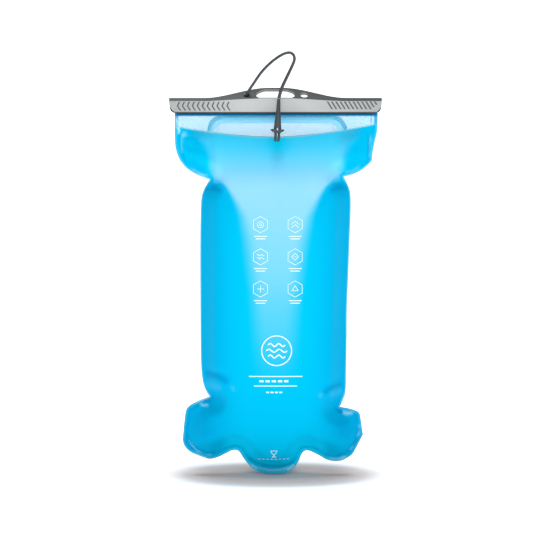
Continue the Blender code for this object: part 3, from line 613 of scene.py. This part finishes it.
class Film:
    """The bag's flat pattern with its shape, shared by both panels."""

    def __init__(self):
        sides = [(p.x, p.y) for run in OUTLINE_RUNS for p in catmull(run, 4)[:-1]] + [OUTLINE_RUNS[-1][-1]]
        top = [(x, FILM_TOP) for x in np.linspace(sides[-1][0], sides[0][0], 60)[1:-1]]
        self.outline = np.array(sides + top)
        self.pillow = Pillow(self.outline)
        self.points, self.triangles = self.grid()
        self.edge = nearest_edge(self.points, self.outline)
        self.weld = weld_width(self.points)
        x, z = self.outline.T
        self.area = abs(x @ np.roll(z, -1) - z @ np.roll(x, -1)) / 2
        self.size = tuple(side * MM for side in np.ptp(self.outline, axis=0).tolist())

    def grid(self):
        """The flat film cut into triangles: rings inside the edge, and an even field inside those."""
        outline = self.outline
        count = len(outline)
        spots = list(outline)
        along = np.roll(outline, -1, axis=0) - np.roll(outline, 1, axis=0)
        inward = np.stack([-along[:, 1], along[:, 0]], axis=1)
        inward /= np.linalg.norm(inward, axis=1)[:, None]
        weld = weld_width(outline)[:, None]
        for scale, past in ((0.5, 0), (1, 0), (1, 0.7), (1, 1.6), (1, 2.8), (1, 4.4), (1, 6.4)):
            inset = weld * scale + past
            ring = outline + inward * inset
            good = inside(ring, outline) & (nearest_edge(ring, outline) > inset[:, 0] - 0.12)
            good &= ring[:, 1] < FILM_TOP - 0.3
            spots += list(ring[good])
        low, high = outline.min(axis=0), outline.max(axis=0)
        field = []
        for row, z in enumerate(np.arange(low[1] + 2, high[1] - 1, FIELD * 0.87)):
            shift = FIELD * (row % 2) / 2
            field += [(x, z) for x in np.arange(low[0] - shift, high[0] + FIELD, FIELD)]
        field = np.array(field)
        clear = weld_width(field) + 7.6
        spots += list(field[inside(field, outline) & (nearest_edge(field, outline) > clear)])
        made = geometry.delaunay_2d_cdt([Vector(s) for s in spots], [], [list(range(count))], 1, 1e-4)
        return np.array([(v.x, v.y) for v in made[0]]), [list(face) for face in made[2]]

    def height(self, points, side):
        """How far the film's inner face stands off the middle plane."""
        edge = nearest_edge(points, self.outline)
        lift = self.pillow.fullness(points) * (FRONT_FULLNESS if side < 0 else BACK_FULLNESS)
        lift = np.where(edge > weld_width(points), lift, 0)
        past = edge - weld_width(points)
        lift *= 0.3 + 0.7 * smooth((past + 1) / SHOULDER)
        marked = points - np.stack([0 * lift, lift * LEAN], axis=1)
        lift = np.maximum(lift - folds(marked) * smooth(past / 4) * smooth(lift / 5), 0.0)
        if side > 0:
            reach = np.hypot(points[:, 0], points[:, 1] - PORT_HEIGHT)
            flat = smooth((PORT_BLEND - reach) / (PORT_BLEND - PORT_FLAT))
            lift += (PORT_PLANE - lift) * flat
        return lift + FILM_GAP


def store(mesh, name, values):
    attribute = mesh.attributes.new(name, "FLOAT", "POINT")
    attribute.data.foreach_set("value", np.asarray(values, np.float32))


def painted_glow(x, z):
    """Painted light, standing in for the light that shines through the bag: a funnel from ear to ear that
    narrows downwards.
    """
    levels = [60, 100, 140, 160, 180, 210, 228, 238, 246, 251, 254, 258, 262, 270, 280, 290, 300]
    left = np.interp(z, levels, [14, 14, 16, 17, 19.5, 24, 28, 32.5, 37, 40, 42, 46, 53, 56, 56, 60, 68])
    right = np.interp(z, levels, [14, 14, 16, 17, 19.5, 24.5, 29, 34, 38, 41, 43, 47.5, 54, 58, 59, 63, 70])
    half = np.where(x < 0, left, right)
    blur = np.interp(z, levels, [9, 9, 9, 9, 9, 8, 6, 4.2, 3, 2.4, 2, 1.8, 2, 3.4, 4, 5, 8])
    across = 1 - smooth((np.abs(x) - half + blur) / (2 * blur))
    rise = [70, 85, 100, 110, 120, 140, 150, 165, 180, 195, 210, 228, 238, 250, 262, 270, 280, 290, 300]
    light = [0, 0.01, 0.06, 0.1, 0.17, 0.25, 0.32, 0.41, 0.49, 0.54, 0.61, 0.69, 0.75, 0.78, 0.68, 0.49, 0.3]
    light += [0.15, 0.1]
    under_toggle = np.exp(-(((x - 2) / 11) ** 2) - (((z - 292) / 10) ** 2))
    return across * np.interp(z, rise, light) * (1 - under_toggle)


def dimness(x, z):
    """Painted shade: how much darker the water is painted towards the bag's sides and foot."""
    sides = 0.44 * smooth((np.abs(x + 0.5) - 22) / 42) * smooth((EARS_FROM - z) / 12)
    levels = [0, 14, 25, 40, 55, 70, 85, 100, 150]
    foot = np.interp(z, levels, [0.1, 0.12, 0.18, 0.26, 0.3, 0.3, 0.27, 0.26, 0.22])
    ears = 0.12 * smooth((np.abs(x) - 50) / 20) * smooth((z - EARS_FROM) / 6)
    return np.clip(sides + foot + ears, 0, 1)


def bands(points, routes):
    """The strongest of these soft bands at each point."""
    found = np.zeros(len(points))
    for route, width, strength in routes:
        distance, where = along_route(points, route)
        ends = smooth(where / 0.2) * smooth((1 - where) / 0.2)
        found = np.maximum(found, strength * np.exp(-((distance / width) ** 2)) * ends)
    return found


def make_panel(film, node, name, side, look):
    """One panel: its inner and outer faces, and the walls that join them round every open edge."""
    lift = film.height(film.points, side)
    points = [(x, side * h, z) for (x, z), h in zip(film.points, lift)]
    points += [(x, side * (h + FILM), z) for (x, z), h in zip(film.points, lift)]
    triangles = film.triangles
    if side > 0:
        reach = np.hypot(film.points[:, 0], film.points[:, 1] - PORT_HEIGHT)
        hole = set(np.flatnonzero(reach < PORT_HOLE))
        triangles = [face for face in triangles if not hole & set(face)]
    count = len(film.points)
    once = set()
    for face in triangles:
        for a, b in zip(face, face[1:] + face[:1]):
            if (b, a) in once:
                once.remove((b, a))
            else:
                once.add((a, b))
    faces = [list(face) for face in triangles]
    faces += [[corner + count for corner in face[::-1]] for face in triangles]
    faces += [[b, a, a + count, b + count] for a, b in once]
    used = sorted({corner for face in faces for corner in face})
    number = {old: new for new, old in enumerate(used)}
    faces = [[number[corner] for corner in face] for face in faces]
    obj = add(name, [points[i] for i in used], faces, look, "reservoir", "film")
    paint(obj.data, film, side, np.concatenate([lift, lift])[used], used)
    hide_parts(node)
    return obj


def paint(mesh, film, side, lift, used):
    """The panel's soft bands of colour, painted light and shade among them, stored at its points for the film's
    material.
    """
    front = side < 0
    x, z = np.concatenate([film.points, film.points])[used].T
    edge = np.concatenate([film.edge, film.edge])[used]
    weld = np.concatenate([film.weld, film.weld])[used]
    if front:
        z = z - lift * LEAN
    marked = np.stack([x, z], axis=1)
    seam = np.exp(-(((edge - weld) / 0.7) ** 2))
    ends = smooth((z - EARS_FROM) / 4) + smooth((LOBES_TO - z) / 4)
    store(mesh, "weld", smooth((weld - edge) / 1.2) * smooth((322 - z) / 4))
    store(mesh, "rim", smooth((1.0 - edge) / 0.8) * (0.7 - 0.52 * ends))
    # painted light, half as strong on the back
    store(mesh, "painted_glow", painted_glow(x, z) * (1 if front else 0.5))
    # painted shade towards the bag's sides and foot, kept in the depth attribute
    store(mesh, "depth", dimness(x, z))
    # painted shade beside the folds on the front, and a dark line along the weld's inner edge
    store(mesh, "shade", np.maximum(bands(marked, SHADES), 0.12 * seam * ends) if front else 0.3 * seam)
    # painted highlights, on the front only
    store(mesh, "shine", bands(marked, SHINES) * front)
    store(mesh, "line", sum(np.exp(-(((x - line) / 0.45) ** 2)) for line in HEAD_LINES) * front)
    reach, _ = along_route(marked, ARCH)
    store(mesh, "arch", smooth((3.1 - reach) / 1.2) * front)
    reach, _ = along_route(marked, ARCH_EDGE)
    store(mesh, "arch_edge", 0.8 * np.exp(-((reach / 0.7) ** 2)) * front)
    # Painted light, lifting the water where the toggle, the foot's steep sides and the bar shade it.
    toggle_light = np.exp(-(((x - 2) / 11) ** 2) - (((z - 292) / 8) ** 2))
    foot_light = 0.9 * np.exp(-(((edge - weld - 5) / 6) ** 2)) * smooth((52 - z) / 20)
    foot_light *= smooth((50 - np.abs(x)) / 12)
    head_light = 0.55 * smooth((z - EARS_FROM) / 18) * smooth((64 - np.abs(x)) / 16) * front
    store(mesh, "painted_light_spots", np.maximum.reduce([toggle_light, foot_light, head_light]))


# Prints


def ribbon(route, width, closed=False):
    """A printed line: the flat strip's edge points and its faces, four points to each step along it."""
    step = 1.2
    route = [Vector(p) for p in route]
    pairs = list(zip(route, route[1:] + route[:1])) if closed else list(zip(route, route[1:]))
    line = []
    for a, b in pairs:
        parts = max(1, round((b - a).length / step))
        line += [a + (b - a) * k / parts for k in range(parts)]
    if not closed:
        line.append(route[-1])
    count = len(line)
    points, faces = [], []
    for i, spot in enumerate(line):
        before = line[i - 1] if closed or i else spot
        after = line[(i + 1) % count] if closed or i < count - 1 else spot
        ahead, behind = (after - spot), (spot - before)
        ahead = ahead.normalized() if ahead.length else behind.normalized()
        behind = behind.normalized() if behind.length else ahead
        normal = Vector((-(ahead + behind).y, (ahead + behind).x)).normalized()
        spread = width / 2 / max(normal.dot(Vector((-ahead.y, ahead.x))), 0.4)
        for sign in (-1, 1):
            edge = spot + normal * spread * sign
            points += [(edge.x, 0.22, edge.y), (edge.x, 0.1, edge.y)]
    for i in range(count if closed else count - 1):
        a, b = i * 4, (i + 1) % count * 4
        faces += [[a, b, b + 2, a + 2], [a + 1, a + 3, b + 3, b + 1]]
        faces += [[a, a + 1, b + 1, b], [a + 2, b + 2, b + 3, a + 3]]
    if not closed:
        end = (count - 1) * 4
        faces += [[0, 2, 3, 1], [end, end + 1, end + 3, end + 2]]
    return points, faces


def ring(centre, radius, count, start=0.0):
    angles = [start + 2 * math.pi * i / count for i in range(count)]
    return [(centre[0] + radius * math.cos(a), centre[1] + radius * math.sin(a)) for a in angles]


def wave(x1, x2, z, swing, turns=2):
    count = 24
    spots = [i / count for i in range(count + 1)]
    return [(x1 + (x2 - x1) * t, z + swing * math.sin(2 * math.pi * turns * t)) for t in spots]


def pictograms(x, z):
    """Plain signs for the six hexagons, each as (route, closed)."""
    return [
        [(ring((x, z), 2.6, 16), True), (ring((x, z), 0.9, 10), True)],
        [([(x - 3, z + low), (x, z + low + 2.8), (x + 3, z + low)], False) for low in (0.2, -2.8)],
        [(wave(x - 3.2, x + 3.2, z + 1.5, 0.7), False), (wave(x - 3.2, x + 3.2, z - 1.2, 0.7), False)],
        [(ring((x, z), 3, 4), True), ([(x - 1.3, z), (x + 1.3, z)], False)],
        [([(x - 3, z), (x + 3, z)], False), ([(x, z - 3), (x, z + 3)], False)],
        [(ring((x, z), 3, 3, math.pi / 2), True)],
    ]


def make_prints(film, look):
    """White marks of no meaning: hexagons with plain signs, a ring of waves, a cup and unlettered bars."""
    lines = []
    centres = [(x, z) for z in (221, 193, 165) for x in (-13, 17)]
    for number, (x, z) in enumerate(centres):
        lines.append((ring((x, z), 7.1, 6, math.pi / 6), 0.46, True))
        for route, closed in pictograms(x, z)[number]:
            lines.append((route, 0.46, closed))
        for row, half in ((0, 5.6), (1, 4.2)):
            level = z - 10.2 - 2.2 * row
            lines.append(([(x - half, level), (x + half, level)], 0.8, False))
    lines.append((ring((1, 111), 13, 48), 0.9, True))
    for row in range(3):
        half = 9 - 1.6 * abs(row - 1)
        lines.append((wave(1 - half, 1 + half, 116 - 5 * row, 1.3), 1.1, False))
    lines += [([(-23, 88.4), (23.4, 88.4)], 0.8, False), ([(-18.6, 80), (18.8, 80)], 0.8, False)]
    lines += [([(x, 84.2), (x + 3.6, 84.2)], 1.7, False) for x in (-14, -8.6, -3.2, 2.2, 7.6)]
    lines += [([(x, 74.4), (x + 2.4, 74.4)], 1.2, False) for x in (-8, -4.2, -0.4, 3.4)]
    lines += [([(x, 14.4), (x + 2, 14.4)], 0.5, False) for x in (-15, -11.4, -7.8, -4.2, -0.6, 3, 6.6, 10.2)]
    half_cup = [(-2.7, 22), (-2.1, 20), (-0.4, 18.9), (-0.4, 17), (-1.7, 16.4)]
    cup = [(x - 1.3, z) for x, z in half_cup] + [(-1.3 - x, z) for x, z in half_cup[::-1]]
    lines.append((cup, 0.5, True))
    points, faces = [], []
    for route, width, closed in lines:
        more_points, more_faces = ribbon(route, width, closed)
        faces += [[len(points) + corner for corner in face] for face in more_faces]
        points += more_points
    flat = np.array([(x, z) for x, _, z in points])
    flat[:, 1] += film.height(flat, -1) * LEAN
    lift = film.height(flat, -1) + FILM
    points = [(x, -h - proud, z) for (x, z), (_, proud, _), h in zip(flat, points, lift)]
    return add("film_print", points, faces, look, "reservoir", "film", 30)


# Bar


def make_bar(look):
    bar = soften("slide_bar", look, 0.4, "closure_bar", "bar", 3)
    mesh = bar.data
    count = len(mesh.polygons)
    normals, centres = np.zeros(count * 3), np.zeros(count * 3)
    mesh.polygons.foreach_get("normal", normals)
    mesh.polygons.foreach_get("center", centres)
    normals, centres = normals.reshape(-1, 3), centres.reshape(-1, 3)
    height = (centres[:, 2] - FOOT) / MM
    depth = centres[:, 1] / MM
    # The faces behind the blade and those turned down are marked for painted shade.
    behind_blade = (depth > 0.5) & (normals[:, 1] < -0.5) & (height < 331)
    marks = {
        "blade": normals[:, 2] > 0.25,
        "painted_groove_shade": (depth > -9.3) & (depth < -8.4) & (height > 320) & (height < 331),
        "under": ((normals[:, 2] < -0.5) & (height < 324)) | behind_blade,
    }
    for name, found in marks.items():
        attribute = mesh.attributes.new(name, "FLOAT", "FACE")
        attribute.data.foreach_set("value", found.astype(np.float32))
    return bar


# Cord and toggle


def make_cord(look):
    curve = bpy.data.curves.new("hanging_cord", "CURVE")
    curve.dimensions = "3D"
    curve.bevel_depth = CORD_DIAMETER / 2 * MM
    curve.bevel_resolution = 6
    curve.use_fill_caps = True
    route = catmull(CORD_ROUTE, 6)
    spline = curve.splines.new("POLY")
    spline.points.add(len(route) - 1)
    for point, spot in zip(spline.points, route):
        point.co = (*at(*spot), 1)
    for i, point in enumerate(spline.points):
        along = i / (len(route) - 1)
        point.radius = 0.9 + 0.2 * float(smooth((along - 0.6) / 0.4))
    spline.use_smooth = True
    curve.materials.append(look)
    cord = put("hanging_cord", curve)
    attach(cord, "bar")
    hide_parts("hang_cord")
    length = sum((b - a).length for a, b in zip(route, route[1:]))
    return cord, length


def make_toggle(look):
    """The flared tail, its thin dished collar and the two prongs that snap through the right hole."""
    down = (TOGGLE_TIP - TOGGLE_TOP).normalized()
    side = Vector((1, 0, 0))
    side = (side - down * side.dot(down)).normalized()
    front = down.cross(side)
    collar = (TOGGLE_TIP - TOGGLE_TOP).length - COLLAR_RISE

    def hanging(u, v, depth):
        return TOGGLE_TOP + side * u + front * v + down * depth

    def lofted(sections, count):
        """Ellipses skinned from end to end, each from its depth, half width, half depth, shift and cup."""
        angles = [2 * math.pi * i / count for i in range(count)]
        points = [
            hanging(wide * math.cos(a) + shift, deep * math.sin(a), depth - cup * math.cos(a) ** 2)
            for depth, wide, deep, shift, cup in sections for a in angles
        ]
        faces = []
        for start in range(0, len(points) - count, count):
            for i in range(count):
                a, b = start + i, start + (i + 1) % count
                faces.append([a, b, b + count, a + count])
        faces += [list(range(count))[::-1], list(range(len(points) - count, len(points)))]
        return points, faces

    sections = [(*section, 0, 0) for section in FLARE]
    sections += [(collar + depth, wide, deep, 0, cup) for depth, wide, deep, cup in COLLAR]
    toggle = add("toggle", *lofted(sections, 28), look, "bar", "cord", 50)
    points, faces = [], []
    for sign in (-1, 1):
        sections = [(collar + depth, wide, deep, sign * shift, 0) for depth, shift, wide, deep in PRONG]
        more_points, more_faces = lofted(sections, 18)
        faces += [[len(points) + corner for corner in face] for face in more_faces]
        points += more_points
    tips = add("toggle_prongs", points, faces, look, "bar", "cord", 50)
    middle, half_height = collar + (EYE_TOP + EYE_BOTTOM) / 2, (EYE_BOTTOM - EYE_TOP) / 2
    count = 16
    angles = [2 * math.pi * i / count for i in range(count)]
    eye = [
        hanging(EYE_HALF_WIDTH * math.cos(a), depth, middle + half_height * math.sin(a))
        for depth in (-6, 6) for a in angles
    ]
    faces = [[i, (i + 1) % count, count + (i + 1) % count, count + i] for i in range(count)]
    carve(toggle, eye, faces + [list(range(count))[::-1], list(range(count, 2 * count))])
    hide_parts("hang_toggle")
    return toggle, tips


def carve(obj, points, faces):
    """Takes a closed shape out of a piece and keeps the result as its mesh."""
    cutter = put("cutter", closed_mesh("cutter", points, faces))
    boolean = obj.modifiers.new("carve", "BOOLEAN")
    boolean.operation = "DIFFERENCE"
    boolean.solver = "EXACT"
    boolean.object = cutter
    bpy.context.view_layer.update()
    graph = bpy.context.evaluated_depsgraph_get()
    made = bpy.data.meshes.new_from_object(obj.evaluated_get(graph))
    obj.modifiers.remove(boolean)
    old = obj.data
    obj.data = made
    bpy.data.meshes.remove(old)
    bpy.data.objects.remove(cutter)
    made.shade_smooth()
    made.set_sharp_from_angle(angle=math.radians(45))


# What stays from the CAD or is rounded from it


def coil(node, look, name):
    """A copy of a spring's CAD node with the given look, which stands for the node."""
    mesh = nodes[node].data.copy()
    mesh.materials.clear()
    mesh.materials.append(look)
    obj = put(name, mesh)
    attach(obj, "reservoir")
    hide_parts(node)
    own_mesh(obj)
    return obj


def make_fittings(rubber):
    clear_blue = Shader("stiffener")
    cloudy = clear_blue.noise(160, 3)
    drift = clear_blue.range(cloudy, 0.3, 0.7, 0.0, 1.0)
    clear_blue.colour(clear_blue.mix(drift, linear(96, 214, 255), linear(120, 222, 255)))
    clear_blue.link(clear_blue.range(cloudy, 0.3, 0.7, 0.25, 0.35), clear_blue.surface.inputs["Roughness"])
    clear_blue.bump(cloudy, 0.1, 0.0003)
    clear_blue.set(Alpha=0.9)
    shell = moulded("port", linear(64, 70, 74), linear(52, 58, 62), (0.32, 0.46), 1300)
    lever = moulded("accent", linear(20, 150, 205), linear(10, 132, 188), (0.3, 0.42), 1300)
    seal = moulded("seal", linear(36, 38, 40), linear(24, 26, 28), (0.55, 0.7), 700, 0.00005)
    valve = moulded("valve", linear(206, 208, 206), linear(186, 190, 190), (0.3, 0.42), 1100)
    steel = moulded("steel", linear(200, 202, 206), linear(170, 172, 178), (0.18, 0.3), 500, 0.00002, 1.0)
    rail = moulded("rail", linear(24, 120, 176), linear(16, 104, 160), (0.35, 0.5), 1100)
    soften("mouth_stiffener", clear_blue.material, 0.3, "mouth_arch", "reservoir")
    soften("cord_anchor", rubber, 0.35, "cord_crossbar", "bar")
    soften("front_seal_rail", rail, 0.3, "front_rail", "reservoir")
    soften("rear_seal_rail", rail, 0.3, "rear_rail", "reservoir")
    soften("port_flange", shell, 0.4, "outlet_flange", "reservoir")
    soften("port_body", shell, 0.4, "outlet_body", "reservoir")
    soften("port_bezel", shell, 0.3, "outlet_bezel", "reservoir")
    soften("latch_plate", valve, 0.15, "outlet_latch", "latch")
    soften("release_button", lever, 0.35, "outlet_button", "latch")
    soften("poppet", valve, 0.2, "outlet_poppet", "valve")
    soften("spring_seat", valve, 0.15, "outlet_spring_seat", "reservoir")
    for name in ("port_gasket", "port_oring", "poppet_seal"):
        nodes[name].data.materials.clear()
        nodes[name].data.materials.append(seal)
    coil("poppet_spring", steel, "outlet_valve_spring")
    coil("button_spring", steel, "outlet_latch_spring")


# Stage


def make_camera():
    camera = put("camera", bpy.data.cameras.new("camera"))
    back = Vector((0, -math.cos(CAMERA_RISE), math.sin(CAMERA_RISE)))
    camera.location = at(*LOOK_AT) + back * CAMERA_DISTANCE * MM
    camera.rotation_mode = "QUATERNION"
    camera.rotation_quaternion = (-back).to_track_quat("-Z", "Y")
    camera.data.sensor_width = 36
    camera.data.lens = 36 * CAMERA_DISTANCE / PICTURE_HEIGHT
    camera.data.clip_start, camera.data.clip_end = 0.1, 50
    bpy.context.scene.camera = camera


def area_light(name, place, target, size, power):
    light = bpy.data.lights.new(name, "AREA")
    light.shape = "RECTANGLE"
    light.size, light.size_y = size
    light.energy = power
    obj = put(name, light)
    obj.location = place
    obj.rotation_mode = "QUATERNION"
    obj.rotation_quaternion = (Vector(target) - Vector(place)).to_track_quat("-Z", "Y")


def make_stage():
    scene = bpy.context.scene
    scene.view_settings.view_transform = "Standard"
    world = bpy.data.worlds.new("studio")
    scene.world = world
    world.use_nodes = True
    tree = world.node_tree
    seen = tree.nodes.new("ShaderNodeLightPath")
    strength = tree.nodes.new("ShaderNodeMapRange")
    strength.inputs["To Min"].default_value = 0.37
    strength.inputs["To Max"].default_value = 1.05
    tree.links.new(seen.outputs["Is Camera Ray"], strength.inputs["Value"])
    background = tree.nodes["Background"]
    background.inputs["Color"].default_value = (1, 1, 1, 1)
    tree.links.new(strength.outputs["Result"], background.inputs["Strength"])
    reach, level = 12, FOOT - 0.0004
    mesh = bpy.data.meshes.new("floor")
    corners = [(-reach, -reach, level), (reach, -reach, level), (reach, reach, level), (-reach, reach, level)]
    mesh.from_pydata(corners, [], [[0, 1, 2, 3]])
    look = Shader("floor")
    look.set(Roughness=0.9, Specular_IOR_Level=0.0, Emission_Color=(1, 1, 1, 1))
    away = look.node("ShaderNodeVectorMath", operation="LENGTH")
    squeeze = look.node("ShaderNodeMapping")
    squeeze.inputs["Scale"].default_value = (1.0, 1.45, 0.0)
    look.link(look.place(), squeeze.inputs["Vector"])
    look.link(squeeze.outputs["Vector"], away.inputs[0])
    near = look.range(away.outputs["Value"], 0.058, 0.1, 1.0, 0.0)
    mottle = look.range(look.noise(6, 2), 0.3, 0.7, 0.0, 1.0)
    plain = look.mix(mottle, (0.95, 0.95, 0.95), (0.93, 0.93, 0.93))
    # painted shadow: a soft warm-grey patch on the floor round the bag's foot
    look.colour(look.mix(near, plain, (0.76, 0.61, 0.56)))
    look.link(look.range(away.outputs["Value"], 0.08, 0.15, 0.0, 1.0), look.surface.inputs["Emission Strength"])
    mesh.materials.append(look.material)
    put("floor", mesh)
    middle = at(0, 0, 180)
    area_light("front", middle + Vector((0.15, -1.9, 1.0)), middle, (1.4, 1.0), 13)
    area_light("overhead", middle + Vector((0, 0.05, 1.7)), at(0, 0, 0), (0.5, 1.0), 16)


def main():
    make_camera()
    rubber = moulded("cord", linear(54, 62, 67), linear(42, 50, 55), (0.42, 0.55), 1600, 0.00004)
    cord, cord_length = make_cord(rubber)
    toggle, tips = make_toggle(rubber)
    film = Film()
    clear = film_material()
    front = make_panel(film, "front_panel", "front_film", -1, clear)
    back = make_panel(film, "back_panel", "back_film", 1, clear)
    make_prints(film, print_material())
    make_bar(bar_material())
    make_fittings(rubber)
    make_stage()


main()
